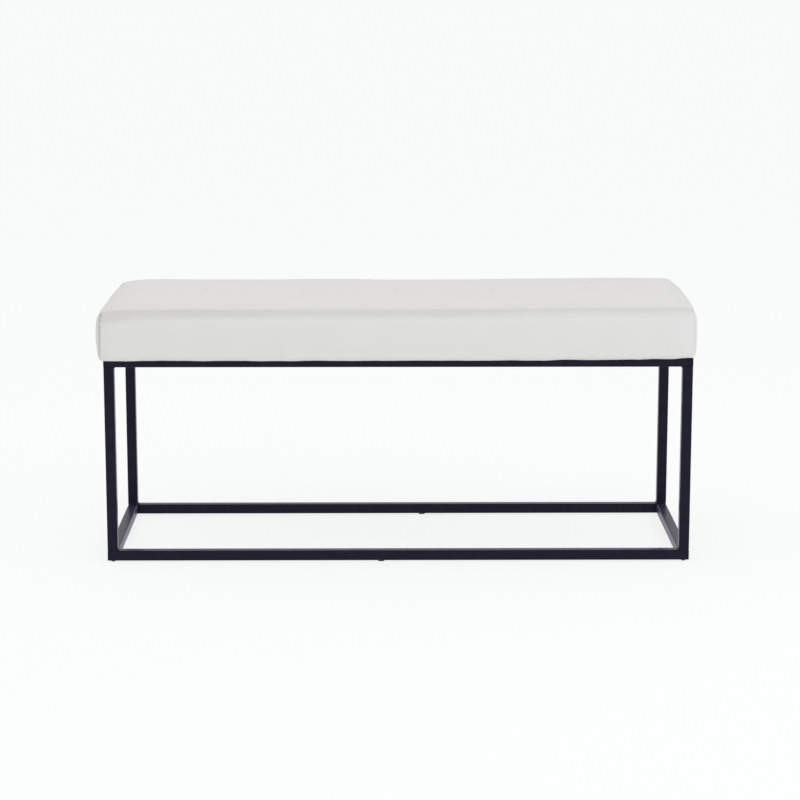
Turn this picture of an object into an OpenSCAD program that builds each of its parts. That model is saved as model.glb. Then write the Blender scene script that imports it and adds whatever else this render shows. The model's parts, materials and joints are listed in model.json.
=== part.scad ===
// Entryway bench: a square-tube steel box frame that carries a box cushion
// on a plywood board. The origin is on the floor under the middle of the
// bench, +X runs along its length, -Y is its front and +Z is up.

/* [Frame] */
// Length of the steel frame over its outer faces
frame_len = 1140; // [1000:10:1300]
// Depth of the steel frame over its outer faces
frame_dep = 410; // [360:5:460]
// Height from the underside of the lower rails to the top of the upper rails
frame_h = 405; // [340:5:440]
// Side of the square tube
tube = 20; // [18:0.5:25]
// Wall thickness of the square tube
tube_wall = 1.5; // [1.2:0.1:1.6]
// Outside corner radius of the square tube
tube_r = 2; // [1.8:0.1:2.5]
// Gap between the lower rails and the floor
floor_gap = 3; // [3:0.5:5]

/* [Crossbars] */
// Distance between neighbouring crossbars
crossbar_pitch = 380; // [300:10:400]
// Width of a crossbar
crossbar_w = 30; // [25:1:40]
// Thickness of a crossbar
crossbar_t = 4; // [3:0.5:6]
// Distance of the pad screws from the middle of a crossbar
screw_y = 130; // [100:5:140]

/* [Feet] */
// Diameter of a corner glide
glide_d = 9; // [7:0.5:12]
// Diameter of the foot of a mid-rail leveller
foot_d = 15; // [14:0.5:17]
// Place of the front leveller along the rail
front_leveller_x = -34; // [-100:1:100]
// Place of the back leveller along the rail
back_leveller_x = 52; // [-100:1:100]

/* [Seat pad] */
// How far the pad stands out past the frame on every side
pad_over = 8; // [7:0.5:12]
// Thickness of the plywood seat board
board_t = 15; // [12:1:18]
// Height of the top seam above the floor
seam_z = 496; // [480:1:520]
// Rise of the crowned top above its seam
crown = 12; // [6:1:20]
// How far the padded edge hangs down over the upper rails
skirt_drop = 6; // [4:0.5:10]
// Thickness of the upholstery cover
cover_t = 1; // [0.8:0.1:1.2]
// Number of tufts along the middle of the top
tuft_count = 5; // [3:2:5]
// Distance between neighbouring tufts
tuft_pitch = 190; // [150:5:200]
// How far below the crown each tuft's tie ends
tuft_depth = 8; // [6:1:10]

/* [Hidden] */

round_fn = 48;
eps = 0.1;

// Which side of a rectangular ring a part is on, as quarter turns
FRONT = 0;
RIGHT = 1;
BACK = 2;
LEFT = 3;

// Frame
lower_z = floor_gap;
frame_top = floor_gap + frame_h;
upper_z = frame_top - tube;
leg_z = lower_z + tube;
corner_x = (frame_len - tube) / 2;
corner_y = (frame_dep - tube) / 2;
steel = [0.13, 0.13, 0.16];
zinc = [0.72, 0.73, 0.75];

// Crossbars, sunk below the frame's top by the dust cover that lies on them
dust_t = 0.5;
crossbar_top = frame_top - dust_t;
crossbar_len = frame_dep - 2 * tube;
crossbar_hole_r = 3.5;

// Corner glides
glide_pin_r = 3;
glide_pin_len = 8;
glide_hole_r = 3.1;
glide_barb_r = 3.6;
glide_edge = 1;

// Levellers: an M6 stud that turns in a nylon foot and in a rivet nut
stud_r = 3;
thread_clear = 0.05;
stud_top = 18;
stud_head_r = 4.5;
stud_head_t = 0.8;
nut_flange_t = 0.8;
foot_floor = 0.85;
foot_top = floor_gap - nut_flange_t - thread_clear;
foot_throat_r = 3.6;
foot_base_r = 4.8;
nut_flange_r = 6.5;
nut_body_r = 4.5;
nut_body_len = 12;
nut_bore_r = stud_r + thread_clear;
nut_bulge_r = 6;
nut_bulge_len = 3;

// Seat pad, from the frame's top upwards
board_z = frame_top + cover_t;
board_top = board_z + board_t;
board_over = 1;
skirt_z = frame_top - skirt_drop;
hem_gap = 0.2;
hem_w = 40;
foam_gap = 0.2;
foam_top = seam_z - cover_t - 3;
foam_over = pad_over - cover_t;
foam_inner_over = hem_gap + cover_t;
crown_top = seam_z + crown;
crown_base = foam_top - crown;
crown_margin = 1;
crown_steps = 12;
cover_white = [0.87, 0.87, 0.86];
foam_cream = [0.93, 0.90, 0.78];

// Dust cover
dust_inset = 30;
dust_hole_r = 8;

// Pad screws, washers and tee nuts (M6)
screw_r = 2.9;
screw_len = 20;
head_r = 5.75;
head_t = 4;
washer_r = 6;
washer_hole_r = 3.2;
washer_t = 1.2;
tee_r = 3.9;
tee_len = 10;
tee_bore_r = 3;
tee_flange_r = 9.5;
tee_flange_t = 1.2;
board_hole_r = 4;
board_recess_r = 9.8;

// Tufts
tie_r = 1;
tie_hole_r = 1.6;
tie_disc_r = 5;
tie_disc_t = 1;
tie_pocket_r = 5.4;
toggle_t = 0.7;
tuft_places = [for (i = [0 : tuft_count - 1]) (i - (tuft_count - 1) / 2) * tuft_pitch];

// Staples
staple_w = 10;
wire_w = 1.2;
wire_t = 0.6;
staple_leg = 9;
hem_staple_inset = 25;
hem_staple_pitch = 75;
dust_staple_inset = 35;
dust_staple_pitch = 120;

// Plan size of a rectangle that stands out past the frame by over
function plan_len(over) = frame_len + 2 * over;
function plan_dep(over) = frame_dep + 2 * over;
function side_len(side, over) = side % 2 == FRONT ? plan_len(over) : plan_dep(over);
function side_dist(side, over) = (side % 2 == FRONT ? plan_dep(over) : plan_len(over)) / 2;

// Radius of the arc that rises by the crown over a width
function crown_r(width) = (width * width / 4 + crown * crown) / (2 * crown);

// Outline under that arc, whose two halves are each crown_steps straight pieces
function crown_outline(width, inset) =
    let (
        r = crown_r(width),
        arc_r = r - inset,
        half_angle = asin((width / 2 + crown_margin) / arc_r),
        reach = width / 2 + crown_margin
    )
    concat(
        [for (i = [-crown_steps : crown_steps])
            let (angle = half_angle * i / crown_steps)
            [arc_r * sin(angle), crown_top - r + arc_r * cos(angle)]],
        [[reach, crown_base], [-reach, crown_base]]
    );

// Height of the crowned top above the floor at a place along its middle line
function crown_z(x) =
    let (r = crown_r(plan_len(pad_over)))
    crown_top - r + sqrt(r * r - x * x);

// Underside of the disc at the top of a tuft's tie
function tie_disc_z(x) = max(foam_top + foam_gap, crown_z(x) - tuft_depth - tie_disc_t);

// Moves a part made along X, with its outside at -Y, to one side of the ring
module on_side(side, over = 0) {
    rotate([0, 0, 90 * side])
        translate([0, -side_dist(side, over), 0])
            children();
}

// A rectangular slab centred on the bench
module plan_slab(over, z0, z1) {
    translate([-plan_len(over) / 2, -plan_dep(over) / 2, z0])
        cube([plan_len(over), plan_dep(over), z1 - z0]);
}

// Keeps what lies between 45 degree mitres, for a strip with its outside at y = 0
module mitred(len, z0, z1) {
    reach = min(frame_len, frame_dep) / 2;
    intersection() {
        children();
        translate([0, 0, z0])
            linear_extrude(z1 - z0)
                polygon([
                    [-len / 2, 0], [len / 2, 0],
                    [len / 2 - reach, reach], [reach - len / 2, reach]
                ]);
    }
}

// A square with rounded corners, centred
module rounded_square(side, r) {
    square([side, side - 2 * r], center = true);
    square([side - 2 * r, side], center = true);
    for (x = [-1, 1], y = [-1, 1])
        translate([x, y] * (side / 2 - r))
            circle(r, $fn = round_fn);
}

module tube_section() {
    difference() {
        rounded_square(tube, tube_r);
        rounded_square(tube - 2 * tube_wall, tube_r - tube_wall);
    }
}

// One mitred rail of a tube ring whose underside is at z0
module ring_rail(side, z0) {
    len = side_len(side, 0);
    on_side(side)
        mitred(len, z0 - eps, z0 + tube + eps)
            translate([-len / 2, tube / 2, z0 + tube / 2])
                rotate([90, 0, 90])
                    linear_extrude(len)
                        tube_section();
}

module glide_holes() {
    for (x = [-1, 1], y = [-1, 1])
        translate([x * corner_x, y * corner_y, lower_z - eps])
            cylinder(tube_wall + 2 * eps, r = glide_hole_r, $fn = round_fn);
}

module leveller_hole(x) {
    translate([x, tube / 2, lower_z - eps])
        cylinder(tube_wall + 2 * eps, r = nut_body_r + thread_clear, $fn = round_fn);
}

module lower_rail(side) {
    color(steel) difference() {
        ring_rail(side, lower_z);
        glide_holes();
    }
}

// Lower front and back rails have a hole for the leveller's rivet nut
module lower_long_rail(side, x) {
    color(steel) difference() {
        lower_rail(side);
        on_side(side) leveller_hole(x);
    }
}

module upper_rail(side) {
    color(steel) ring_rail(side, upper_z);
}

module leg(x, y) {
    color(steel)
        translate([x * corner_x, y * corner_y, leg_z])
            linear_extrude(upper_z - leg_z)
                tube_section();
}

module crossbar(place) {
    color(steel)
        translate([place * crossbar_pitch, 0, crossbar_top - crossbar_t])
            difference() {
                translate([-crossbar_w / 2, -crossbar_len / 2, 0])
                    cube([crossbar_w, crossbar_len, crossbar_t]);
                for (y = [-screw_y, screw_y])
                    translate([0, y, -eps])
                        cylinder(crossbar_t + 2 * eps, r = crossbar_hole_r, $fn = round_fn);
            }
}

// A nylon glide pressed into the underside of a lower corner
module corner_glide(x, y) {
    color([0.10, 0.10, 0.11])
        translate([x * corner_x, y * corner_y, 0])
            rotate_extrude($fn = round_fn)
                polygon([
                    [0, 0], [glide_d / 2 - glide_edge, 0], [glide_d / 2, glide_edge],
                    [glide_d / 2, lower_z], [glide_pin_r, lower_z],
                    [glide_pin_r, lower_z + tube_wall + eps],
                    [glide_barb_r, lower_z + tube_wall + 2 * eps],
                    [glide_pin_r - 1, lower_z + glide_pin_len], [0, lower_z + glide_pin_len]
                ]);
}

// A threaded insert set in the underside of a long lower rail
module rivet_nut(side, x) {
    color(zinc)
        on_side(side)
            translate([x, tube / 2, lower_z])
                difference() {
                    union() {
                        translate([0, 0, -nut_flange_t])
                            cylinder(nut_flange_t, r = nut_flange_r, $fn = round_fn);
                        cylinder(nut_body_len, r = nut_body_r, $fn = round_fn);
                        translate([0, 0, tube_wall])
                            cylinder(nut_bulge_len, r = nut_bulge_r, $fn = round_fn);
                    }
                    translate([0, 0, -nut_flange_t - eps])
                        cylinder(nut_body_len + nut_flange_t + 2 * eps, r = nut_bore_r, $fn = round_fn);
                }
}

// Nylon foot with a domed underside and a pocket for the stud's head
module leveller_foot(side, x) {
    dome_r = foot_d / 2 - foot_base_r;
    color([0.10, 0.10, 0.11])
        on_side(side)
            translate([x, tube / 2, 0])
                difference() {
                    union() {
                        cylinder(foot_top, r = foot_base_r, $fn = round_fn);
                        rotate_extrude($fn = round_fn)
                            translate([foot_base_r, foot_top])
                                intersection() {
                                    scale([dome_r / foot_top, 1]) circle(foot_top, $fn = round_fn);
                                    translate([-foot_base_r / 2, -foot_top]) square([foot_d, foot_top]);
                                }
                    }
                    translate([0, 0, foot_floor])
                        cylinder(stud_head_t + eps, r = stud_head_r + thread_clear, $fn = round_fn);
                    translate([0, 0, foot_floor + stud_head_t])
                        cylinder(foot_top, r = foot_throat_r, $fn = round_fn);
                }
}

module leveller_stud(side, x) {
    head_z = foot_floor + eps / 2;
    color(zinc)
        on_side(side)
            translate([x, tube / 2, head_z]) {
                cylinder(stud_head_t, r = stud_head_r, $fn = round_fn);
                cylinder(stud_top - head_z, r = stud_r, $fn = round_fn);
            }
}

// Repeats its children at every pad screw
module at_screws() {
    for (x = [-1, 0, 1], y = [-1, 1])
        translate([x * crossbar_pitch, y * screw_y, 0])
            children();
}

// Repeats its children at every tuft
module at_tufts() {
    for (x = tuft_places)
        translate([x, 0, 0])
            children();
}

module pad_screws() {
    head_z = crossbar_top - crossbar_t - washer_t - head_t;
    color(zinc) at_screws() {
        translate([0, 0, head_z])
            cylinder(head_t, r = head_r, $fn = 6);
        translate([0, 0, head_z + head_t])
            cylinder(screw_len, r = screw_r, $fn = round_fn);
    }
}

module pad_washers() {
    washer_z = crossbar_top - crossbar_t - washer_t;
    color(zinc) at_screws()
        translate([0, 0, washer_z])
            difference() {
                cylinder(washer_t, r = washer_r, $fn = round_fn);
                translate([0, 0, -eps])
                    cylinder(washer_t + 2 * eps, r = washer_hole_r, $fn = round_fn);
            }
}

module tee_nuts() {
    color(zinc) at_screws()
        difference() {
            union() {
                translate([0, 0, board_top - tee_flange_t])
                    cylinder(tee_flange_t, r = tee_flange_r, $fn = round_fn);
                translate([0, 0, board_top - tee_flange_t - tee_len])
                    cylinder(tee_len, r = tee_r, $fn = round_fn);
            }
            translate([0, 0, board_z])
                cylinder(board_t + eps, r = tee_bore_r, $fn = round_fn);
        }
}

module seat_board() {
    color([0.78, 0.62, 0.42]) difference() {
        plan_slab(board_over, board_z, board_top);
        at_screws() {
            translate([0, 0, board_z - eps])
                cylinder(board_t + 2 * eps, r = board_hole_r, $fn = round_fn);
            translate([0, 0, board_top - tee_flange_t])
                cylinder(tee_flange_t + eps, r = board_recess_r, $fn = round_fn);
        }
        at_tufts()
            translate([0, 0, board_z - eps])
                cylinder(board_t + 2 * eps, r = tie_hole_r, $fn = round_fn);
    }
}

// Foam block with a lip that covers the edges of the board and the frame's top
module foam_core() {
    lip_z = skirt_z + cover_t + foam_gap;
    color(foam_cream) difference() {
        plan_slab(foam_over, lip_z, foam_top);
        plan_slab(foam_inner_over, lip_z - eps, board_top);
        at_tufts()
            translate([0, 0, board_top - eps])
                cylinder(foam_top - board_top + 2 * eps, r = tie_hole_r, $fn = round_fn);
    }
}

// A bar along X whose top is the crown's arc
module crown_bar(width, len, inset) {
    translate([-len / 2, 0, 0])
        rotate([90, 0, 90])
            linear_extrude(len)
                polygon(crown_outline(width, inset));
}

// Space under the crown, which falls to the seam on all four sides
module crown_vault(inset) {
    len = plan_len(pad_over);
    dep = plan_dep(pad_over);
    intersection() {
        crown_bar(dep, len + 2 * eps, inset);
        rotate([0, 0, 90]) crown_bar(len, dep + 2 * eps, inset);
    }
}

// Polyester wadding between the flat foam and the crowned cover
module wadding() {
    color([0.95, 0.95, 0.95]) difference() {
        intersection() {
            plan_slab(foam_over, foam_top, crown_top + eps);
            crown_vault(cover_t + foam_gap);
        }
        for (x = tuft_places)
            translate([x, 0, 0]) {
                translate([0, 0, foam_top - eps])
                    cylinder(crown * 2, r = tie_hole_r, $fn = round_fn);
                translate([0, 0, tie_disc_z(x) - eps])
                    cylinder(crown, r = tie_pocket_r, $fn = round_fn);
            }
    }
}

module cover_top() {
    color(cover_white) difference() {
        intersection() {
            plan_slab(pad_over, seam_z - cover_t - foam_gap, crown_top + eps);
            crown_vault(0);
        }
        crown_vault(cover_t);
    }
}

// Side panel of the cover: down the outside, up behind the padded edge and in under the board
module cover_side(side) {
    len = side_len(side, pad_over);
    panel_top = seam_z - cover_t - foam_gap - eps;
    back_y = pad_over - hem_gap;
    color(cover_white)
        on_side(side, pad_over)
            mitred(len, skirt_z - eps, panel_top + eps)
                translate([-len / 2, 0, 0])
                    rotate([90, 0, 90])
                        linear_extrude(len)
                            polygon([
                                [0, panel_top], [0, skirt_z], [back_y, skirt_z],
                                [back_y, board_z - cover_t], [pad_over + hem_w, board_z - cover_t],
                                [pad_over + hem_w, board_z], [back_y - cover_t, board_z],
                                [back_y - cover_t, skirt_z + cover_t], [cover_t, skirt_z + cover_t],
                                [cover_t, panel_top]
                            ]);
}

// Thin cloth that closes the underside of the pad
module dust_cover() {
    color([0.09, 0.09, 0.10]) difference() {
        plan_slab(-dust_inset, frame_top - dust_t, frame_top);
        at_screws()
            translate([0, 0, frame_top - dust_t - eps])
                cylinder(dust_t + 2 * eps, r = dust_hole_r, $fn = round_fn);
    }
}

// One staple along X, its crown just below z0 and its legs up
module staple(z0) {
    translate([-staple_w / 2, -wire_w / 2, z0 - wire_t])
        difference() {
            cube([staple_w, wire_w, staple_leg + wire_t]);
            translate([wire_t, -eps, wire_t])
                cube([staple_w - 2 * wire_t, wire_w + 2 * eps, staple_leg + eps]);
        }
}

// A row of staples on one side, set in from the frame's edge
module staple_row(side, inset, pitch, z0) {
    usable = side_len(side, -inset) - 2 * staple_w;
    half = floor(usable / 2 / pitch + 0.5);
    on_side(side, -inset)
        for (i = [0 : half - 1], way = [-1, 1])
            translate([way * (i + 0.5) * pitch, 0, 0])
                staple(z0);
}

module staples() {
    color(zinc)
        for (side = [FRONT, RIGHT, BACK, LEFT]) {
            staple_row(side, hem_staple_inset, hem_staple_pitch, frame_top);
            staple_row(side, dust_staple_inset, dust_staple_pitch, frame_top - dust_t);
        }
}

// Twine between a disc under the cover and a toggle under the board
module tuft_ties() {
    toggle_z = board_z - toggle_t - eps;
    color([0.9, 0.88, 0.82])
        for (x = tuft_places)
            translate([x, 0, toggle_z]) {
                cylinder(tie_disc_z(x) - toggle_z + tie_disc_t, r = tie_r, $fn = round_fn);
                cylinder(toggle_t, r = tie_disc_r, $fn = round_fn);
                translate([0, 0, tie_disc_z(x) - toggle_z])
                    cylinder(tie_disc_t, r = tie_disc_r, $fn = round_fn);
            }
}

lower_long_rail(FRONT, front_leveller_x);  // lower_front_rail
lower_rail(RIGHT);  // lower_right_rail
lower_long_rail(BACK, -back_leveller_x);  // lower_back_rail
lower_rail(LEFT);  // lower_left_rail
upper_rail(FRONT);  // upper_front_rail
upper_rail(RIGHT);  // upper_right_rail
upper_rail(BACK);  // upper_back_rail
upper_rail(LEFT);  // upper_left_rail
leg(-1, -1);  // front_left_leg
leg(1, -1);  // front_right_leg
leg(-1, 1);  // back_left_leg
leg(1, 1);  // back_right_leg
crossbar(-1);  // left_crossbar
crossbar(0);  // middle_crossbar
crossbar(1);  // right_crossbar
corner_glide(-1, -1);  // front_left_glide
corner_glide(1, -1);  // front_right_glide
corner_glide(-1, 1);  // back_left_glide
corner_glide(1, 1);  // back_right_glide
rivet_nut(FRONT, front_leveller_x);  // front_rivet_nut
leveller_foot(FRONT, front_leveller_x);  // front_foot
leveller_stud(FRONT, front_leveller_x);  // front_stud
rivet_nut(BACK, -back_leveller_x);  // back_rivet_nut
leveller_foot(BACK, -back_leveller_x);  // back_foot
leveller_stud(BACK, -back_leveller_x);  // back_stud
pad_screws();
pad_washers();
tee_nuts();
seat_board();
foam_core();
wadding();
cover_top();
cover_side(FRONT);  // cover_front
cover_side(RIGHT);  // cover_right
cover_side(BACK);  // cover_back
cover_side(LEFT);  // cover_left
dust_cover();
staples();
tuft_ties();
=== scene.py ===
"""Looks of the entryway bench: an upholstered box cushion on a black square-tube frame."""
import json
import math

import bpy
import numpy as np
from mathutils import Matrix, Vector, noise


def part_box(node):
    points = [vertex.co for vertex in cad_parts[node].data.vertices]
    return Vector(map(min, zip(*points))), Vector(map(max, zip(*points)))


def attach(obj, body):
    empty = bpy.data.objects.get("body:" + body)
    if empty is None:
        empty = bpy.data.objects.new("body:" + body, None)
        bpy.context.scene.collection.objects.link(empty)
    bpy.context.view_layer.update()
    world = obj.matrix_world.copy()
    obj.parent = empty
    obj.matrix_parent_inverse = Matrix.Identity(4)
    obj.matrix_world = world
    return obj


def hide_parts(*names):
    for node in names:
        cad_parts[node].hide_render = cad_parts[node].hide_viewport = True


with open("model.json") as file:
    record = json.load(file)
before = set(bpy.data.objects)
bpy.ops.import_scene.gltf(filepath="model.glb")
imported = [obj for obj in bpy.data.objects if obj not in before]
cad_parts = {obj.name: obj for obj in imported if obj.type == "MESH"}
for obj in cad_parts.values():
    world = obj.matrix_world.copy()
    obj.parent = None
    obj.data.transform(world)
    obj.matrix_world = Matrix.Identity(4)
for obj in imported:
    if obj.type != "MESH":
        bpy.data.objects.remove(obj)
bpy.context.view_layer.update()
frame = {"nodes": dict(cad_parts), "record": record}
SCENE = bpy.context.scene
MM = 0.001

# Camera: a long lens, a little above the seat and just left of the middle
CAMERA_PLACE = (-0.0295, -4.789, 1.2124)
CAMERA_PITCH = -0.19153
CAMERA_YAW = -0.00707
CAMERA_LENS = 108.49
CAMERA_REACH = 200.0

# Staging: a pale floor disc that glows a little, and an even white sky
FLOOR_REACH, FLOOR_RIM = 150.0, 96
FLOOR_TONE = (0.16, 0.16, 0.16, 1.0)
FLOOR_GLOW, FLOOR_GLOW_STRENGTH = (0.985, 1.0, 0.995, 1.0), 0.825
SKY_STRENGTH = 0.82

# Painted shade in the seams, the tufts' tucks and at the corners, as a point attribute of the cushion that
# darkens its colour
PAINTED_SHADE_ATTRIBUTE = "painted_shade"
PAINTED_SHADE_DEPTH = 0.85
PAINTED_SHADE_COLOUR = (0.60, 0.585, 0.555)

# Where the two colours of every material ramp sit
RAMP_LOW, RAMP_HIGH = 0.3, 0.7

# Frame outline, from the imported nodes
RING_LOW, RING_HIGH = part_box("upper_front_rail")
FRAME_HALF_LEN = RING_HIGH.x
FRAME_HALF_DEP = -RING_LOW.y
FRAME_TOP = RING_HIGH.z
BOARD_LOW, BOARD_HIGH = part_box("seat_board")
COVER_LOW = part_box("cover_top")[0]
SEAM_Z = COVER_LOW.z + 1.2 * MM
TUFTS = 5
TUFT_PITCH = (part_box("tuft_ties")[1].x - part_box("tuft_ties")[0].x - 10 * MM) / (TUFTS - 1)


# ---------------------------------------------------------------- helpers

def make_mesh(name, verts, faces, smooth=True):
    """A new mesh object in the scene's collection."""
    mesh = bpy.data.meshes.new(name)
    mesh.from_pydata([tuple(v) for v in verts], [], faces)
    mesh.validate()
    mesh.update()
    for p in mesh.polygons:
        p.use_smooth = smooth
    obj = bpy.data.objects.new(name, mesh)
    SCENE.collection.objects.link(obj)
    return obj


def fbm(p, scale, octaves=3):
    """Smooth noise from -1 to 1 at a point, for features about scale metres across."""
    return noise.fractal(Vector(p) / scale, 1.0, 2.0, octaves, noise_basis="PERLIN_ORIGINAL")


def smooth_step(a, b, x):
    t = np.clip((x - a) / (b - a), 0.0, 1.0)
    return t * t * (3 - 2 * t)


# ---------------------------------------------------------------- materials

class Nodes:
    """Small helper that adds and links nodes of one material."""

    def __init__(self, name):
        self.material = bpy.data.materials.new(name)
        self.material.use_nodes = True
        self.tree = self.material.node_tree
        self.shader = self.tree.nodes["Principled BSDF"]

    def add(self, kind, inputs=None, **settings):
        node = self.tree.nodes.new(kind)
        for key, value in settings.items():
            setattr(node, key, value)
        for key, value in (inputs or {}).items():
            if isinstance(value, bpy.types.NodeSocket):
                self.tree.links.new(value, node.inputs[key])
            else:
                node.inputs[key].default_value = value
        return node

    def ramp(self, factor, stops):
        node = self.add("ShaderNodeValToRGB", {"Fac": factor})
        ramp = node.color_ramp
        while len(ramp.elements) < len(stops):
            ramp.elements.new(0.5)
        for element, (place, colour) in zip(ramp.elements, stops):
            element.position = place
            element.color = (*colour, 1.0)
        return node.outputs["Color"]

    def position(self):
        return self.add("ShaderNodeTexCoord").outputs["Object"]

    def noise(self, vector, scale, detail=3.0, roughness=0.5):
        node = self.add(
            "ShaderNodeTexNoise",
            {"Vector": vector, "Scale": scale, "Detail": detail, "Roughness": roughness},
        )
        return node.outputs["Fac"]

    def math(self, operation, a, b):
        return self.add("ShaderNodeMath", {0: a, 1: b}, operation=operation).outputs[0]

    def span(self, factor, low, high):
        """A ramp between two colours or two grey levels."""
        return self.ramp(factor, [(RAMP_LOW, low), (RAMP_HIGH, high)])

    def bump(self, height, distance, strength, normal=None):
        inputs = {"Height": height, "Distance": distance, "Strength": strength}
        if normal is not None:
            inputs["Normal"] = normal
        return self.add("ShaderNodeBump", inputs).outputs["Normal"]

    def link(self, socket, name):
        self.tree.links.new(socket, self.shader.inputs[name])

    def set(self, **values):
        for name, value in values.items():
            self.shader.inputs[name.replace("_", " ")].default_value = value


def leather(name, light, dark):
    """Soft off-white leather: pebbled grain, faint mottling, slightly worn gloss, and painted shade in its
    seams.
    """
    n = Nodes(name)
    place = n.position()
    mottle = n.noise(place, 14.0, 4.0, 0.55)
    tone = n.span(mottle, dark, light)
    # Painted shade: the cushion's attribute darkens the base colour in the seams, the tucks and at the
    # corners
    shade = n.add("ShaderNodeAttribute", attribute_name=PAINTED_SHADE_ATTRIBUTE).outputs["Fac"]
    amount = n.math("MULTIPLY", shade, PAINTED_SHADE_DEPTH)
    mix = n.add("ShaderNodeMix", data_type="RGBA", blend_type="MIX")
    n.tree.links.new(amount, mix.inputs["Factor"])
    n.tree.links.new(tone, mix.inputs["A"])
    mix.inputs["B"].default_value = (*PAINTED_SHADE_COLOUR, 1.0)
    n.link(mix.outputs["Result"], "Base Color")
    gloss = n.noise(place, 45.0, 3.0)
    n.link(n.span(gloss, (0.48, 0.48, 0.48), (0.60, 0.60, 0.60)), "Roughness")
    n.set(Specular_IOR_Level=0.35)
    pebble = n.add(
        "ShaderNodeTexVoronoi",
        {"Vector": place, "Scale": 560.0, "Randomness": 1.0},
        feature="SMOOTH_F1",
    ).outputs["Distance"]
    fine = n.noise(place, 2600.0, 2.0)
    crease = n.noise(place, 160.0, 4.0, 0.6)
    grain = n.bump(pebble, 0.00022, 0.8)
    grain = n.bump(fine, 0.00003, 0.4, grain)
    n.link(n.bump(crease, 0.0004, 0.4, grain), "Normal")
    return n.material


def powder_coat(name):
    """Near-black satin powder coat with a fine orange peel and slightly rubbed gloss."""
    n = Nodes(name)
    place = n.position()
    shade = n.noise(place, 60.0, 3.0)
    n.link(n.span(shade, (0.0035, 0.0026, 0.0125), (0.006, 0.0048, 0.018)), "Base Color")
    rub = n.noise(place, 90.0, 4.0)
    n.link(n.span(rub, (0.27, 0.27, 0.27), (0.36, 0.36, 0.36)), "Roughness")
    n.set(Specular_IOR_Level=0.165, Sheen_Weight=0.14, Sheen_Roughness=0.35)
    n.set(Sheen_Tint=(0.62, 0.52, 1.0, 1.0))
    peel = n.noise(place, 900.0, 2.0)
    n.link(n.bump(peel, 0.00005, 0.4), "Normal")
    return n.material


def nylon(name):
    """Black moulded nylon with a fine matt texture."""
    n = Nodes(name)
    place = n.position()
    shade = n.noise(place, 300.0, 2.0)
    n.link(n.span(shade, (0.012, 0.012, 0.013), (0.02, 0.02, 0.022)), "Base Color")
    n.link(n.span(shade, (0.5, 0.5, 0.5), (0.62, 0.62, 0.62)), "Roughness")
    n.link(n.bump(n.noise(place, 2500.0, 2.0), 0.00004, 0.5), "Normal")
    return n.material


def zinc(name):
    """Zinc-plated steel with a cloudy passivated finish."""
    n = Nodes(name)
    place = n.position()
    cloud = n.noise(place, 220.0, 4.0)
    n.link(n.span(cloud, (0.5, 0.51, 0.53), (0.66, 0.66, 0.67)), "Base Color")
    n.link(n.span(cloud, (0.28, 0.28, 0.28), (0.42, 0.42, 0.42)), "Roughness")
    n.set(Metallic=1.0)
    n.link(n.bump(n.noise(place, 3000.0, 2.0), 0.00002, 0.4), "Normal")
    return n.material


def plywood(name):
    """Birch plywood: long grain on the faces and thin plies at the edges."""
    n = Nodes(name)
    place = n.position()
    long = n.add("ShaderNodeMapping", {"Vector": place, "Scale": (1.5, 40.0, 1.0)}).outputs[0]
    grain = n.noise(long, 9.0, 6.0, 0.6)
    n.link(n.span(grain, (0.5, 0.34, 0.19), (0.66, 0.49, 0.31)), "Base Color")
    n.link(n.span(grain, (0.55, 0.55, 0.55), (0.7, 0.7, 0.7)), "Roughness")
    plies = n.add(
        "ShaderNodeTexWave",
        {"Vector": place, "Scale": 120.0, "Distortion": 0.4},
        bands_direction="Z",
    ).outputs["Fac"]
    n.link(n.bump(plies, 0.0002, 0.4), "Normal")
    return n.material


def cloth(name, light, dark, pitch, rough):
    """Woven or felted cloth with a fine crossed texture."""
    n = Nodes(name)
    place = n.position()
    fuzz = n.noise(place, 60.0, 5.0, 0.6)
    n.link(n.span(fuzz, dark, light), "Base Color")
    n.link(n.span(fuzz, (rough - 0.05,) * 3, (rough + 0.05,) * 3), "Roughness")
    waves = [
        n.add(
            "ShaderNodeTexWave",
            {"Vector": place, "Scale": 0.3 / pitch, "Distortion": 1.2, "Detail Scale": 2.0},
            bands_direction=way,
        ).outputs["Fac"]
        for way in ("X", "Y")
    ]
    n.link(n.bump(n.math("MAXIMUM", *waves), 0.0002, 0.5), "Normal")
    return n.material


def foam(name):
    """Open-cell foam: cream, matt and full of small pores."""
    n = Nodes(name)
    place = n.position()
    tint = n.noise(place, 20.0, 4.0)
    n.link(n.span(tint, (0.78, 0.72, 0.52), (0.87, 0.82, 0.64)), "Base Color")
    n.link(n.span(tint, (0.85, 0.85, 0.85), (0.95, 0.95, 0.95)), "Roughness")
    pores = n.add("ShaderNodeTexVoronoi", {"Vector": place, "Scale": 900.0}).outputs["Distance"]
    n.link(n.bump(pores, 0.0004, 0.7), "Normal")
    return n.material


MATERIALS = {
    "cover": leather("cover_leather", (0.722, 0.711, 0.692), (0.706, 0.695, 0.676)),
    "powder_coat": powder_coat("black_powder_coat"),
    "nylon": nylon("black_nylon"),
    "zinc": zinc("zinc_plate"),
    "plywood": plywood("birch_plywood"),
    "foam": foam("seat_foam"),
    "wadding": cloth("white_wadding", (0.9, 0.9, 0.9), (0.8, 0.8, 0.79), 0.002, 0.9),
    "dust_cloth": cloth("black_dust_cloth", (0.018, 0.018, 0.019), (0.01, 0.01, 0.011), 0.0012, 0.88),
    "twine": cloth("waxed_twine", (0.74, 0.7, 0.6), (0.6, 0.56, 0.46), 0.0006, 0.7),
}


def dress(obj, slot):
    """Gives a new piece the material of the slot of that name."""
    obj.data.materials.clear()
    obj.data.materials.append(MATERIALS[slot])
    return obj


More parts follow.
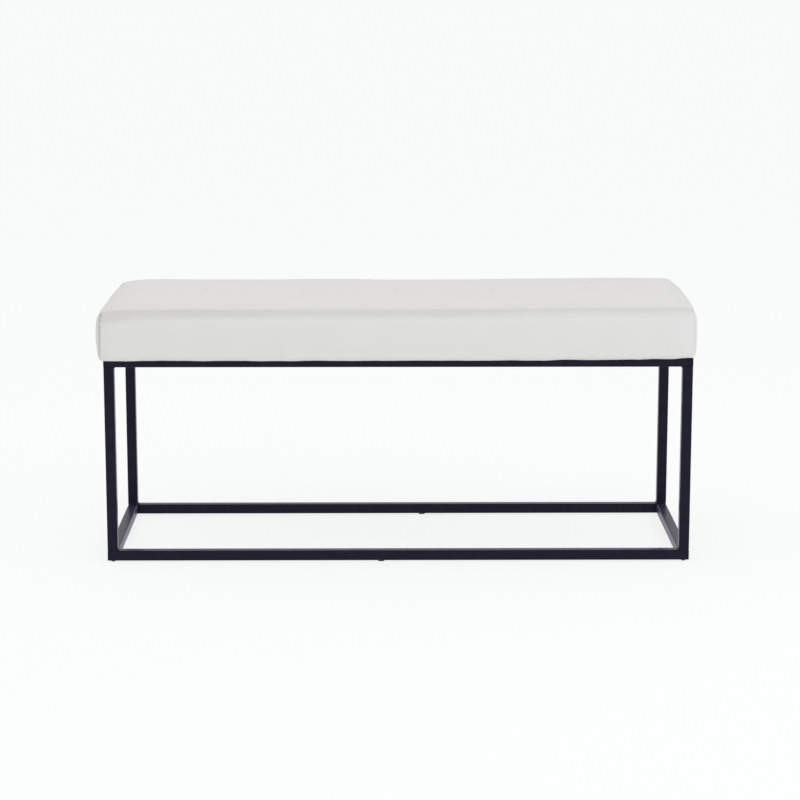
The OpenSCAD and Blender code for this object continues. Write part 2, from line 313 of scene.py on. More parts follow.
def dress_cad_nodes():
    """Every CAD node gets the procedural material of its own slot."""
    slots = {s["node"]: s["material_slot"] for s in frame["record"]["subparts"]}
    for name, obj in frame["nodes"].items():
        obj.data.materials.clear()
        obj.data.materials.append(MATERIALS[slots[name]])


# ---------------------------------------------------------------- camera, floor, light

def make_camera():
    camera = bpy.data.objects.new("camera", bpy.data.cameras.new("camera"))
    camera.data.lens = CAMERA_LENS
    camera.data.clip_end = CAMERA_REACH
    camera.location = CAMERA_PLACE
    camera.rotation_euler = (math.pi / 2 + CAMERA_PITCH, 0.0, CAMERA_YAW)
    SCENE.collection.objects.link(camera)
    SCENE.camera = camera


def make_floor():
    """A wide pale floor disc."""
    verts = [(0.0, 0.0, 0.0)]
    verts += [
        (FLOOR_REACH * math.cos(a), FLOOR_REACH * math.sin(a), 0.0)
        for a in np.linspace(0.0, 2 * math.pi, FLOOR_RIM, endpoint=False)
    ]
    faces = [(0, 1 + i, 1 + (i + 1) % FLOOR_RIM) for i in range(FLOOR_RIM)]
    floor = make_mesh("floor", verts, faces)
    n = Nodes("pale_floor")
    n.set(Base_Color=FLOOR_TONE, Roughness=0.9, Specular_IOR_Level=0.0)
    n.set(Emission_Color=FLOOR_GLOW, Emission_Strength=FLOOR_GLOW_STRENGTH)
    floor.data.materials.append(n.material)


def make_light(name, place, aim, size, power, colour):
    light = bpy.data.objects.new(name, bpy.data.lights.new(name, "AREA"))
    light.data.color = colour
    light.data.shape = "RECTANGLE"
    light.data.size, light.data.size_y = size
    light.data.energy = power
    light.location = place
    light.rotation_euler = (Vector(aim) - Vector(place)).to_track_quat("-Z", "Y").to_euler()
    SCENE.collection.objects.link(light)


def make_world():
    world = bpy.data.worlds.new("studio")
    world.use_nodes = True
    background = world.node_tree.nodes["Background"]
    background.inputs["Color"].default_value = (1.0, 1.0, 1.0, 1.0)
    background.inputs["Strength"].default_value = SKY_STRENGTH
    SCENE.world = world
    SCENE.view_settings.view_transform = "Standard"


# ---------------------------------------------------------------- cushion form

CORNER_R = 10 * MM
PAD_SHIFT = -3.65 * MM
SIDE_OUT = 6.5 * MM
LIP_Z = FRAME_TOP - 6.0 * MM
COVER_T = 0.8 * MM
RAIL_GAP = 0.35 * MM
LEAST_CORNER = 0.3 * MM
BACK_LEFT_EXTRA = 14 * MM


def plan_point(sx, sy, out, corner):
    """Point of the plan outline family: sx, sy in -1..1, out past the frame's outer faces."""
    a, b = FRAME_HALF_LEN + out, FRAME_HALF_DEP + out
    r = np.maximum(corner, LEAST_CORNER)
    x, y = sx * a, sy * b
    dx, dy = np.abs(x) - (a - r), np.abs(y) - (b - r)
    inside = (dx > 0) & (dy > 0)
    reach = np.maximum(dx, dy)
    length = np.maximum(np.hypot(dx, dy), 1e-9)
    x = np.where(inside, np.sign(x) * (a - r + dx / length * reach), x)
    y = np.where(inside, np.sign(y) * (b - r + dy / length * reach), y)
    return x, y


def edge_distance(sx, sy):
    """Distance from the pad's ends and from its long sides."""
    return (1 - np.abs(sx)) * FRAME_HALF_LEN, (1 - np.abs(sy)) * FRAME_HALF_DEP


# Dips of the back edge below the front one: places along the bench and depths in mm. They were fitted to
# the photo's top edge by a measuring script, which a script shouldn't hold; report.md says more.
BACK_PLACES = np.array([-575, -560, -548, -520, -414, -247, -163, -79, 4, 171, 255, 339, 422, 581]) * MM
BACK_DIPS = np.array([5.2, 2.6, 1.4, 0.9, 2.2, 3.1, 1.4, 1.6, 3.8, 3.2, 2.6, 3.8, 2.8, 3.3]) * MM


# How the seam and the ends leave a plain box, in mm
SEAM_LIFT, RIGHT_RISE, LEFT_DROP, END_RISE = 0.3, 2.6, 4.2, 3.4
RIGHT_BOW, LEFT_DRAW = 2.2, 0.4


def back_dip(x, sy):
    """How far the top dips towards its back edge."""
    spread = [np.interp(x + step * MM, BACK_PLACES, BACK_DIPS) for step in (-15, -5, 5, 15)]
    return sum(spread) / len(spread) * smooth_step(0.0, 0.9, sy)


def seam_height(sx, sy):
    """Height of the top seam: a little higher to the right, lower at the left end."""
    x = sx * FRAME_HALF_LEN
    right = smooth_step(0.05, 0.42, x)
    left = 1 - smooth_step(-0.572, -0.495, x)
    bow = (1 - sy * sy) * smooth_step(0.50, 0.57, x)
    lift = SEAM_LIFT + RIGHT_RISE * right - LEFT_DROP * left + END_RISE * bow
    return SEAM_Z + lift * MM - back_dip(x, sy)


def end_bow(sx, sy):
    """How far the right end's seam bows out between its corners, and the left end draws in."""
    bow = RIGHT_BOW * (1 - sy * sy) * smooth_step(0.9, 1.0, sx)
    return (bow - LEFT_DRAW * (1 - sy) * smooth_step(0.9, 1.0, -sx)) * MM


class PadLattice:
    """Closed box of quads: a top grid, rings down the sides and a grid that closes it below."""

    def __init__(self, sx, sy, ring_count):
        self.sx, self.sy = np.asarray(sx), np.asarray(sy)
        self.nx, self.ny = len(sx) - 1, len(sy) - 1
        nx, ny = self.nx, self.ny
        self.loop = [(i, 0) for i in range(nx)] + [(nx, j) for j in range(ny)]
        self.loop += [(i, ny) for i in range(nx, 0, -1)] + [(0, j) for j in range(ny, 0, -1)]
        self.rings = ring_count
        self.top_size = (nx + 1) * (ny + 1)

    def top(self, i, j):
        return i * (self.ny + 1) + j

    def side(self, ring, column):
        if ring == 0:
            return self.top(*self.loop[column])
        return self.top_size + (ring - 1) * len(self.loop) + column

    def low(self, i, j):
        if 0 < i < self.nx and 0 < j < self.ny:
            start = self.top_size + self.rings * len(self.loop)
            return start + (i - 1) * (self.ny - 1) + j - 1
        return self.side(self.rings, self.column[i, j])

    def faces(self):
        nx, ny, columns = self.nx, self.ny, len(self.loop)
        self.column = {place: c for c, place in enumerate(self.loop)}
        cells = [(i, j) for i in range(nx) for j in range(ny)]
        faces = [
            (self.top(i, j), self.top(i + 1, j), self.top(i + 1, j + 1), self.top(i, j + 1))
            for i, j in cells
        ]
        for ring in range(self.rings):
            for c in range(columns):
                d = (c + 1) % columns
                faces.append(
                    (self.side(ring + 1, c), self.side(ring + 1, d), self.side(ring, d), self.side(ring, c))
                )
        faces += [
            (self.low(i, j), self.low(i, j + 1), self.low(i + 1, j + 1), self.low(i + 1, j))
            for i, j in cells
        ]
        return faces

    def top_params(self):
        return np.meshgrid(self.sx, self.sy, indexing="ij")

    def loop_params(self):
        i, j = np.array(self.loop).T
        return self.sx[i], self.sy[j]

    def low_params(self):
        return np.meshgrid(self.sx[1:-1], self.sy[1:-1], indexing="ij")


def corner_round(sx, sy, drop):
    """Radius of the pad's corners: larger at the back left one, near the top."""
    high = 1 - smooth_step(20 * MM, 70 * MM, np.asarray(drop))
    return CORNER_R + BACK_LEFT_EXTRA * smooth_step(0.0, 1.0, sy) * (sx < 0) * high


def loop_place(sx, sy):
    """Distance along the outline, from the front left corner, for points of the loop."""
    length, depth = 2 * FRAME_HALF_LEN, 2 * FRAME_HALF_DEP
    front = (sx + 1) / 2 * length
    right = length + (sy + 1) / 2 * depth
    back = length + depth + (1 - sx) / 2 * length
    left = 2 * length + depth + (1 - sy) / 2 * depth
    at_front, at_right, at_back = sy <= -1, sx >= 1, sy >= 1
    return np.where(at_front, front, np.where(at_right, right, np.where(at_back, back, left)))


# ---------------------------------------------------------------- cushion simulation

SIM_RINGS = 9
SIM_X, SIM_Y = 96, 36
TOP_CAP = 14.0 * MM
SIDE_CAP = 8.0 * MM
SEAM_PIN = 0.97
CLOTH_QUALITY, CLOTH_FRAMES = 6, 20
CLOTH_MASS, CLOTH_PRESSURE = 0.6, 4.0
CLOTH_STRETCH, CLOTH_SHEAR, CLOTH_BEND = 18, 6, 1.5


def sim_form():
    """The slack pad before it is filled: lattice, points and pin weights."""
    lattice = PadLattice(np.linspace(-1, 1, SIM_X + 1), np.linspace(-1, 1, SIM_Y + 1), SIM_RINGS)
    sx, sy = lattice.top_params()
    x, y = plan_point(sx, sy, SIDE_OUT, CORNER_R)
    top = np.stack([x, y, seam_height(sx, sy)], -1).reshape(-1, 3)
    cx, cy = lattice.loop_params()
    sides = []
    for ring in range(1, SIM_RINGS + 1):
        share = ring / SIM_RINGS
        x, y = plan_point(cx, cy, SIDE_OUT, CORNER_R)
        z = seam_height(cx, cy) * (1 - share) + LIP_Z * share
        sides.append(np.stack([x, y, z], -1))
    lx, ly = lattice.low_params()
    x, y = plan_point(lx, ly, SIDE_OUT, CORNER_R)
    low = np.stack([x, y, np.full_like(x, LIP_Z)], -1).reshape(-1, 3)
    points = np.concatenate([top, *sides, low])
    pins = np.zeros(len(points))
    pins[[lattice.side(0, c) for c in range(len(lattice.loop))]] = SEAM_PIN
    pins[len(top) + (SIM_RINGS - 1) * len(lattice.loop):] = 1.0
    return lattice, points, pins


def simulate(lattice, points, pins):
    """Fills the pad by cloth pressure and returns where its points end."""
    obj = make_mesh("pad_sim", points, lattice.faces())
    group = obj.vertex_groups.new(name="pin")
    for index in np.nonzero(pins)[0]:
        group.add([int(index)], float(pins[index]), "REPLACE")
    modifier = obj.modifiers.new("cloth", "CLOTH")
    settings = modifier.settings
    settings.quality = CLOTH_QUALITY
    settings.mass = CLOTH_MASS
    settings.tension_stiffness = settings.compression_stiffness = CLOTH_STRETCH
    settings.shear_stiffness = CLOTH_SHEAR
    settings.bending_stiffness = CLOTH_BEND
    settings.use_pressure = True
    settings.uniform_pressure_force = CLOTH_PRESSURE
    settings.vertex_group_mass = "pin"
    settings.effector_weights.gravity = 0.0
    modifier.collision_settings.use_self_collision = False
    modifier.point_cache.frame_start, modifier.point_cache.frame_end = 1, CLOTH_FRAMES
    for step in range(1, CLOTH_FRAMES + 1):
        SCENE.frame_set(step)
    evaluated = obj.evaluated_get(bpy.context.evaluated_depsgraph_get())
    result = np.empty(len(points) * 3)
    evaluated.data.vertices.foreach_get("co", result)
    SCENE.frame_set(1)
    bpy.data.objects.remove(obj)
    return result.reshape(-1, 3)


def soft_cap(move, cap):
    """Lets a move grow freely while small and levels it off at the cap."""
    return cap * np.tanh(move / cap)


class Filled:
    """How far the filled pad stands out of its slack form, over its top and its sides."""

    def __init__(self):
        lattice, points, pins = sim_form()
        moved = simulate(lattice, points, pins)
        move = moved - points
        shape = (SIM_X + 1, SIM_Y + 1)
        self.rise = soft_cap(move[: lattice.top_size, 2].reshape(shape), TOP_CAP)
        cx, cy = lattice.loop_params()
        near, far = plan_point(cx, cy, 0.0, CORNER_R), plan_point(cx, cy, MM, CORNER_R + MM)
        way = np.stack([(far[0] - near[0]), (far[1] - near[1])], -1)
        way /= np.linalg.norm(way, axis=1)[:, None]
        rows = [np.zeros(len(cx))]
        for ring in range(1, SIM_RINGS + 1):
            start = lattice.side(ring, 0)
            part = move[start: start + len(cx), :2]
            rows.append(soft_cap((part * way).sum(1), SIDE_CAP))
        self.bulge = np.array(rows)
        self.place = loop_place(cx, cy)

    def top_rise(self, sx, sy):
        """Rise of the top at sx, sy, by smooth interpolation."""
        return cubic_grid(self.rise, (sx + 1) / 2 * SIM_X, (sy + 1) / 2 * SIM_Y)

    def side_bulge(self, sx, sy, share):
        """Bulge of the sides, share 0 at the seam and 1 at the lip."""
        around = np.interp(loop_place(sx, sy), self.place, np.arange(len(self.place)))
        return cubic_grid(self.bulge, np.full_like(around, share * SIM_RINGS), around)


def cubic_grid(grid, u, v):
    """Catmull-Rom interpolation of a grid at index places u and v."""
    rows, columns = grid.shape
    result = np.zeros(np.broadcast(u, v).shape)
    i, j = np.floor(u).astype(int), np.floor(v).astype(int)
    for a, wa in enumerate(catmull_weights(u - i)):
        for b, wb in enumerate(catmull_weights(v - j)):
            row = np.clip(i + a - 1, 0, rows - 1)
            column = np.clip(j + b - 1, 0, columns - 1)
            result += wa * wb * grid[row, column]
    return result


def catmull_weights(t):
    return (
        (-t + 2 * t * t - t ** 3) / 2,
        (2 - 5 * t * t + 3 * t ** 3) / 2,
        (t + 4 * t * t - 3 * t ** 3) / 2,
        (t ** 3 - t * t) / 2,
    )


# ---------------------------------------------------------------- cushion detail

# Distances from a seam at which the pad has its own rows of points
EDGE_STEPS = np.array([0.0, 1.2, 2.6, 4.5, 7.0, 11.0]) * MM
SIDE_STEPS = np.array([1.2, 3.0, 5.5, 8.5, 11.0, 12.2, 13.0, 13.8, 15.2, 18.5]) * MM
CELL = 5.43 * MM
SEAM_DEPTH = 4.2 * MM
BAND_DEPTH = 1.0 * MM
SHOULDER = 6.8 * MM
BAND = 13.0 * MM
CORNER_DEPTH = 1.8 * MM
LIP_ROUND = 13.0 * MM
END_FILL = 1.8
LONG_FILL = 1.4
TOP_FILL = 0.85
LIP_TURNS = [13, 29, 45, 59, 72, 83]

# Tufts: depth, and half-widths along and across, of the dimple and of the tuck in it
TUFT_DEPTH, TUFT_WIDE, TUFT_LONG = 1.5 * MM, 0.030, 0.045
TUCK_DEPTH, TUCK_WIDE, TUCK_LONG = 1.3 * MM, 0.004, 0.032
PUCKER_SIZE, PUCKER_DEPTH = 0.011, 0.7

# Painted shade of the stitched band, its change to the right and to the left, and its width in mm
BAND_PAINTED_SHADE, BAND_RIGHT, BAND_LEFT = 0.72, 0.4, 0.14
BAND_WIDTH, BAND_WIDER = 16, 9

# Puff of the ends, in mm: the left one, and the right one at the seam and its growth to the lip
LEFT_PUFF, RIGHT_PUFF, RIGHT_GROWTH = 3.6, 1.6, 1.2


def spaced(half):
    """Places from -1 to 1 with close rows near both ends and even cells between."""
    inner = half - EDGE_STEPS[-1]
    count = int(round(2 * inner / CELL))
    middle = np.linspace(-inner, inner, count + 1)
    edge = half - EDGE_STEPS[:-1]
    return np.concatenate([-edge, middle, edge[::-1]]) / half


def side_shares():
    """Rows of the outer face: drops below the seam, then shares of the rest down to the lip."""
    count = int(round((SEAM_Z - LIP_Z - LIP_ROUND - SIDE_STEPS[-1]) / CELL))
    return np.linspace(0.0, 1.0, count + 1)[1:]


def lip_height(sx, sy):
    """Height of the pad's lower lip: wavy, and rising towards the right of the front."""
    x = sx * FRAME_HALF_LEN
    rise = 1.0 * smooth_step(0.28, 0.32, x) + 1.2 * smooth_step(0.46, 0.49, x)
    rise = rise + 1.8 * smooth_step(0.53, 0.56, x)
    front = (1 - sy) / 2
    points = np.stack([x, sy * FRAME_HALF_DEP, np.full_like(x, 0.4)], -1)
    wave = 0.9 * waves(points, 0.06, MM) + 0.5 * waves(points + 2.2, 0.14, MM)
    return LIP_Z - 1.2 * MM + rise * front * MM + wave


def lip_path():
    """(share of the side's stand-out, rise above the lip) of the rows that round the lip."""
    turn = np.radians(LIP_TURNS)
    return list(zip(np.cos(turn), LIP_ROUND * (1 - np.sin(turn)))) + [(0.0, 1.0 * MM)]


def hem_path():
    """(out, height) of the rows behind the lip: up the rail, under the board and over it."""
    hem_z = FRAME_TOP + 0.1 * MM
    over = hem_z + COVER_T
    hem_edge = -40 * MM
    board = BOARD_HIGH.x - FRAME_HALF_LEN + 0.3 * MM
    lid = BOARD_HIGH.z + 0.3 * MM
    rows = [(RAIL_GAP, LIP_Z + 3.5 * MM), (RAIL_GAP, hem_z), (-1.0 * MM, hem_z)]
    rows += [(-20 * MM, hem_z), (hem_edge, hem_z), (hem_edge, over), (-20 * MM, over)]
    return rows + [(board, over), (board, lid), (board - 6 * MM, lid)]


def tuft_dip(x, y):
    """Shallow dimples with a short front-to-back tuck along the middle of the top."""
    dip, tuck = np.zeros_like(x), np.zeros_like(x)
    for i in range(TUFTS):
        dx = x - (i - (TUFTS - 1) / 2) * TUFT_PITCH
        wide = np.exp(-(dx / TUFT_WIDE) ** 2 - (y / TUFT_LONG) ** 2)
        dip += TUFT_DEPTH * wide
        tuck = np.maximum(tuck, np.exp(-(dx / TUCK_WIDE) ** 2 - (y / TUCK_LONG) ** 4))
    return dip + TUCK_DEPTH * tuck, tuck


def waves(points, size, depth):
    """Low uneven waves of a soft surface."""
    flat = np.asarray(points).reshape(-1, 3)
    values = np.array([fbm(p, size) for p in flat]) * depth
    return values.reshape(np.shape(points)[:-1])


def pucker(points):
    """Small gathers along the stitched seam."""
    flat = np.asarray(points).reshape(-1, 3)
    values = np.array([noise.noise(Vector(p) / PUCKER_SIZE) for p in flat]) * PUCKER_DEPTH * MM
    return values.reshape(np.shape(points)[:-1])


def cushion_top(lattice, filled):
    """The top panel: a rolled shoulder all round and a low crown with faint tufts."""
    sx, sy = lattice.top_params()
    end, side = edge_distance(sx, sy)
    edge = np.minimum(end, side)
    x, y = plan_point(sx, sy, SIDE_OUT + end_bow(sx, sy), corner_round(sx, sy, 0.0))
    pull = SEAM_DEPTH * np.exp(-((edge / (3.5 * MM)) ** 2))
    x = x - np.sign(sx) * np.where(end <= side, pull, 0.0)
    y = y - np.sign(sy) * np.where(side <= end, pull, 0.0)
    z = seam_height(sx, sy) + SHOULDER * (1 - np.exp(-edge / (4 * MM)))
    dip, tuck = tuft_dip(x, y)
    z = z + TOP_FILL * filled.top_rise(sx, sy) - dip
    points = np.stack([x, y, z], -1)
    far = 1 - np.exp(-edge / 0.02)
    gather = np.exp(-edge / 0.012) * (1 - np.exp(-((edge / 0.003) ** 2)))
    z = z + (waves(points, 0.16, 1.0 * MM) + waves(points + 3.7, 0.06, 0.15 * MM)) * far
    z = z + pucker(points) * gather
    # Painted shade: darker over the rolled shoulder next to the seam and in the tufts' tucks
    core = 0.65 * np.exp(-((edge / (5 * MM)) ** 2)) + 0.35 * np.exp(-((edge / (26 * MM)) ** 2))
    shade = core * painted_shade_strength(sx, sy) + 0.3 * tuck
    return np.stack([x + PAD_SHIFT, y, z], -1).reshape(-1, 3), shade.reshape(-1)


def painted_shade_strength(sx, sy):
    """How strong the painted shade of the seams is along their length: uneven."""
    points = np.stack([sx * FRAME_HALF_LEN, sy * FRAME_HALF_DEP, np.full_like(sx, 1.3)], -1)
    return 0.95 + waves(points, 0.09, 0.2)


def band_painted_shade(sx, drop):
    """Painted shade of the stitched band below the seam: wider and darker towards the left."""
    right = smooth_step(0.0, 0.65, sx)
    left = 1 - smooth_step(-1.0, -0.6, sx)
    edge = (BAND_WIDTH + BAND_WIDER * left) * MM
    tone = BAND_PAINTED_SHADE - BAND_RIGHT * right + BAND_LEFT * left
    return tone * (1 - smooth_step(5 * MM, edge, drop))


def seam_profile(drop):
    """Inward pull of the outer face at a drop below the seam: groove, band and stitched crease."""
    groove = (SEAM_DEPTH - BAND_DEPTH) * np.exp(-((drop / (5.0 * MM)) ** 2))
    band = BAND_DEPTH * (1 - smooth_step(BAND - 4.0 * MM, BAND + 7.0 * MM, drop))
    crease = 0.3 * MM * np.exp(-(((drop - BAND) / (0.9 * MM)) ** 2))
    return groove + band + crease


def cushion_sides(lattice, filled):
    """The outer face from below the seam to above the lip: rows, painted shades, last row's stand-out."""
    cx, cy = lattice.loop_params()
    top, lip = seam_height(cx, cy), lip_height(cx, cy)
    fill = np.where(np.abs(cx) >= 1, END_FILL, LONG_FILL)
    corner = CORNER_DEPTH * np.exp(-((corner_gap(cx, cy) / (2.2 * MM)) ** 2))
    last = top - lip - LIP_ROUND
    drops = [np.full_like(top, step) for step in SIDE_STEPS]
    drops += [SIDE_STEPS[-1] + (last - SIDE_STEPS[-1]) * share for share in side_shares()]
    rows, shades = [], []
    for drop in drops:
        share = drop / (top - lip)
        bulge = filled.side_bulge(cx, cy, share) * fill
        out = SIDE_OUT + bulge - seam_profile(drop) - corner
        out = out + end_bow(cx, cy) * (1 - smooth_step(0.2, 1.0, share)) + end_puff(cx, cy, share)
        radius = corner_round(cx, cy, drop)
        x, y = plan_point(cx, cy, out, radius)
        points = np.stack([x, y, top - drop], -1)
        wave = waves(points + 9.1, 0.11, 0.8 * MM) * smooth_step(0.0, 0.02, drop)
        wave = wave + pucker(points) * np.exp(-drop / 0.012) * smooth_step(0.0, 0.004, drop)
        x, y = plan_point(cx, cy, out + wave, radius)
        rows.append(np.stack([x + PAD_SHIFT, y, top - drop], -1))
        # Painted shade: darker in the groove under the seam and over the stitched band, and along the corner
        # seams, widest at the left end
        shade = 0.5 * np.exp(-((drop / (7 * MM)) ** 2)) + band_painted_shade(cx, drop)
        painted_corner_shade = 0.4 * np.exp(-((corner_gap(cx, cy) / (3.5 * MM)) ** 2))
        painted_corner_shade = painted_corner_shade + 0.35 * (cx <= -1) * np.exp(-((corner_gap(cx, cy) / (12 * MM)) ** 2))
        shades.append(np.maximum(shade * painted_shade_strength(cx, cy), painted_corner_shade))
    return rows, shades, out


def end_puff(cx, cy, share):
    """The ends stand further out than the stitched corners, the left one most."""
    gap = 1 - np.exp(-corner_gap(cx, cy) / (6 * MM))
    fade = 1 - 0.7 * smooth_step(0.5, 0.95, share)
    left = np.where(cx <= -1, LEFT_PUFF * gap * np.sin(math.pi * np.clip(share, 0, 1)) ** 0.4, 0.0) * fade
    right = smooth_step(0.985, 1.0, cx) * (RIGHT_PUFF + RIGHT_GROWTH * share) * smooth_step(0.05, 0.2, share)
    return (left + right) * MM


def cushion_underside(lattice, stand):
    """The rounded lip, the hem behind and below it, and the pocket that holds the board."""
    cx, cy = lattice.loop_params()
    lip = lip_height(cx, cy)
    rows = []
    for share, up in lip_path():
        outer = float(smooth_step(0.0, 0.7, np.array(share)))
        x, y = plan_point(cx, cy, RAIL_GAP + (stand - RAIL_GAP) * share, CORNER_R * outer)
        rows.append(np.stack([x + PAD_SHIFT * outer, y, lip + up], -1))
    for out, z in hem_path():
        x, y = plan_point(cx, cy, np.full_like(cx, out), LEAST_CORNER)
        rows.append(np.stack([x, y, np.full_like(cx, z)], -1))
    return rows


def corner_gap(cx, cy):
    """Distance along the outline from the nearest corner."""
    end, side = edge_distance(cx, cy)
    return np.where(np.abs(cy) >= 1, end, side)


def cushion_ceiling(lattice):
    """Flat foam face that lies on the board."""
    out, z = hem_path()[-1]
    sx, sy = lattice.low_params()
    x, y = plan_point(sx, sy, np.full_like(sx, out), LEAST_CORNER)
    return np.stack([x, y, np.full_like(x, z)], -1).reshape(-1, 3)


def make_cushion():
    """The whole upholstered pad as one closed crowned form."""
    filled = Filled()
    rings = len(SIDE_STEPS) + len(side_shares()) + len(lip_path()) + len(hem_path())
    lattice = PadLattice(spaced(FRAME_HALF_LEN), spaced(FRAME_HALF_DEP), rings)
    top, top_shade = cushion_top(lattice, filled)
    sides, side_shades, stand = cushion_sides(lattice, filled)
    under = cushion_underside(lattice, stand)
    points = np.concatenate([top, *sides, *under, cushion_ceiling(lattice)])
    obj = make_mesh("seat_cushion", points, lattice.faces())
    # Painted shade of the seams, band, tucks and corners goes into the point attribute; the lip, hem and
    # underside get none
    shade = np.zeros(len(points))
    seam = np.concatenate([top_shade, *side_shades])
    shade[: len(seam)] = np.clip(seam, 0.0, 1.0)
    obj.data.attributes.new(PAINTED_SHADE_ATTRIBUTE, "FLOAT", "POINT").data.foreach_set("value", shade)
    subdivide = obj.modifiers.new("subdivision", "SUBSURF")
    subdivide.levels = subdivide.render_levels = 1
    dress(obj, "cover")
    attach(obj, "bench")
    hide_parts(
        "cover_top", "cover_front", "cover_right", "cover_back", "cover_left", "foam_core", "wadding"
    )
    return crease_line(sides)


def crease_line(sides):
    """Points down the middle of the stitched crease, all round the pad."""
    row = int(np.argmin(np.abs(SIDE_STEPS - BAND)))
    return (6 * sides[row] + sides[row - 1] + sides[row + 1]) / 8


# ---------------------------------------------------------------- stitches, welds, dust cover

STITCH, STITCH_PITCH, THREAD = 3.4 * MM, 4.6 * MM, 0.38 * MM
WELD_R = 5.0 * MM
DUST_CELLS = (216, 70)
DUST_THICKNESS = 0.25 * MM

# Dust cover, in mm: sag between the bars, gathers at the staples and small creases
DUST_SAG, DUST_GATHER, DUST_CREASE = 2.4, 0.35, 0.25
GATHER_PITCH = 0.075


def add_stitch(verts, faces, place, along, out):
    """One thread stitch: a small rounded bead that dips into the leather at both ends."""
    sides, rings = 6, 5
    across = along.cross(out)
    first = len(verts)
    for k in range(rings):
        t = k / (rings - 1) * 2 - 1
        radius = THREAD * math.sqrt(max(1 - t * t * 0.9, 0.05))
        centre = place + along * (t * STITCH / 2) - out * (0.25 * MM * t * t)
        for s in range(sides):
            a = 2 * math.pi * s / sides
            verts.append(centre + across * (math.cos(a) * radius) + out * (math.sin(a) * radius))
    for k in range(rings - 1):
        for s in range(sides):
            a, b = first + k * sides + s, first + k * sides + (s + 1) % sides
            faces.append((a, b, b + sides, a + sides))
    faces.append(tuple(first + s for s in reversed(range(sides))))
    faces.append(tuple(first + (rings - 1) * sides + s for s in range(sides)))


def make_stitches(line):
    """The topstitch that holds the seam allowance down, all round the cover."""
    closed = np.concatenate([line, line[:1]])
    length = np.concatenate([[0.0], np.cumsum(np.linalg.norm(np.diff(closed, axis=0), axis=1))])
    count = int(length[-1] / STITCH_PITCH)
    verts, faces = [], []
    for i in range(count):
        at = (i + 0.5) / count * length[-1]
        low, mid, high = (
            Vector([np.interp(at + step, length, closed[:, k]) for k in range(3)])
            for step in (-STITCH / 2, 0.0, STITCH / 2)
        )
        along = (high - low).normalized()
        out = along.cross(Vector((0, 0, 1))).normalized()
        add_stitch(verts, faces, mid + out * 0.1 * MM, along, out)
    obj = dress(make_mesh("cover_topstitch", verts, faces), "cover")
    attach(obj, "bench")


def add_fillet(verts, faces, corner, away, up, across, half):
    """A concave weld fillet in a corner: away from the leg, up from the rail, across the tube."""
    arc, cuts = 5, 22
    first = len(verts)
    for k in range(cuts + 1):
        s = (k / cuts * 2 - 1) * half
        end = min((half - abs(s)) / (2.5 * MM), 1.0)
        ripple = 1 + 0.07 * math.sin(s / MM * 2 * math.pi / 1.5) + 0.1 * fbm(corner + across * s, 0.006)
        r = WELD_R * (0.35 + 0.65 * math.sqrt(end)) * ripple
        sunk = -0.3 * MM
        ring = [(sunk, sunk), (r, sunk)]
        ring += [
            (r - r * math.sin(t), r - r * math.cos(t)) for t in np.linspace(0.0, math.pi / 2, arc)
        ]
        ring += [(sunk, r)]
        verts.extend(corner + away * u + up * v + across * s for u, v in ring)
    n = arc + 3
    flip = away.cross(up).dot(across) < 0
    for k in range(cuts):
        for i in range(n):
            a, b = first + k * n + i, first + k * n + (i + 1) % n
            quad = (a, b, b + n, a + n)
            faces.append(quad if flip else quad[::-1])
    caps = [tuple(first + i for i in range(n)), tuple(first + cuts * n + i for i in range(n))]
    faces.append(caps[0][::-1] if flip else caps[0])
    faces.append(caps[1] if flip else caps[1][::-1])


def make_welds():
    """Fillet welds in the inner corners where each leg meets the two rings."""
    for leg in ("front_left_leg", "front_right_leg", "back_left_leg", "back_right_leg"):
        low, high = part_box(leg)
        inward_x = Vector((-math.copysign(1, low.x), 0, 0))
        inward_y = Vector((0, -math.copysign(1, low.y), 0))
        centre = (low + high) / 2
        half = (high.x - low.x) / 2
        verts, faces = [], []
        for z, up in ((low.z, Vector((0, 0, 1))), (high.z, Vector((0, 0, -1)))):
            for away in (inward_x, inward_y):
                corner = Vector((centre.x, centre.y, z)) + away * half
                across = Vector((away.y, away.x, 0))
                add_fillet(verts, faces, corner, away, up, across, half - 1.6 * MM)
        obj = dress(make_mesh(leg.replace("_leg", "_welds"), verts, faces), "powder_coat")
        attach(obj, "bench")


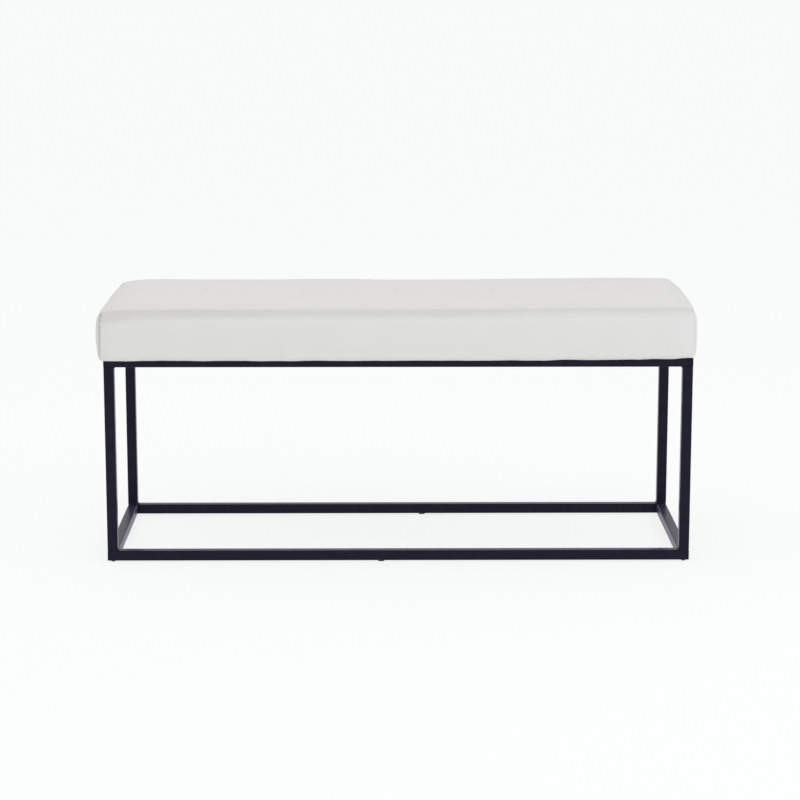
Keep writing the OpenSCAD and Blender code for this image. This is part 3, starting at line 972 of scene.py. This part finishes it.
def dust_sag(x, y, bars):
    """Sag of the dust cover between the crossbars, with small gathers at its stapled edges."""
    half_x, half_y = bars["half"]
    clear = min(abs(x - bar) for bar in bars["at"]) - bars["width"]
    free = smooth_step(0.0, 0.06, clear) * smooth_step(0.0, 0.07, half_x - abs(x))
    free *= smooth_step(0.0, 0.07, half_y - abs(y))
    gather = DUST_GATHER * math.exp(-(half_y - abs(y)) / 0.02) * math.cos(x * 2 * math.pi / GATHER_PITCH)
    crease = DUST_CREASE * fbm((x, y, 0.7), 0.05) * float(free)
    hem = float(smooth_step(0.0, 0.01, half_y - abs(y)))
    return (DUST_SAG * float(free) + gather * hem + crease) * MM


def make_dust_cover():
    """The thin cloth stapled under the board, taut but sagging a little between the bars."""
    low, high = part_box("dust_cover")
    bar_low, bar_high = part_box("left_crossbar")
    bar_at = abs(bar_low.x + bar_high.x) / 2
    bars = {
        "half": (high.x, high.y),
        "at": (-bar_at, 0.0, bar_at),
        "width": (bar_high.x - bar_low.x) / 2 + 2 * MM,
    }
    nx, ny = DUST_CELLS
    xs, ys = np.linspace(low.x, high.x, nx + 1), np.linspace(low.y, high.y, ny + 1)
    level = high.z - 0.1 * MM
    verts = [(x, y, level - max(dust_sag(x, y, bars), 0.0)) for x in xs for y in ys]
    faces = [
        (i * (ny + 1) + j, (i + 1) * (ny + 1) + j, (i + 1) * (ny + 1) + j + 1, i * (ny + 1) + j + 1)
        for i in range(nx)
        for j in range(ny)
    ]
    obj = make_mesh("dust_cloth_sheet", verts, faces)
    thick = obj.modifiers.new("thickness", "SOLIDIFY")
    thick.thickness, thick.offset = DUST_THICKNESS, -1.0
    dress(obj, "dust_cloth")
    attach(obj, "bench")
    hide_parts("dust_cover")


# ---------------------------------------------------------------- build

make_camera()
make_world()
make_floor()
make_light("top_softbox", (-0.8, -0.6, 3.2), (0.0, 0.0, 0.4), (3.6, 2.4), 17, (1.0, 0.98, 0.90))
make_light("side_softbox", (3.0, -2.1, 2.1), (0.0, 0.0, 0.4), (2.4, 1.8), 36, (0.78, 0.88, 1.0))
dress_cad_nodes()
make_stitches(make_cushion())
make_welds()
make_dust_cover()
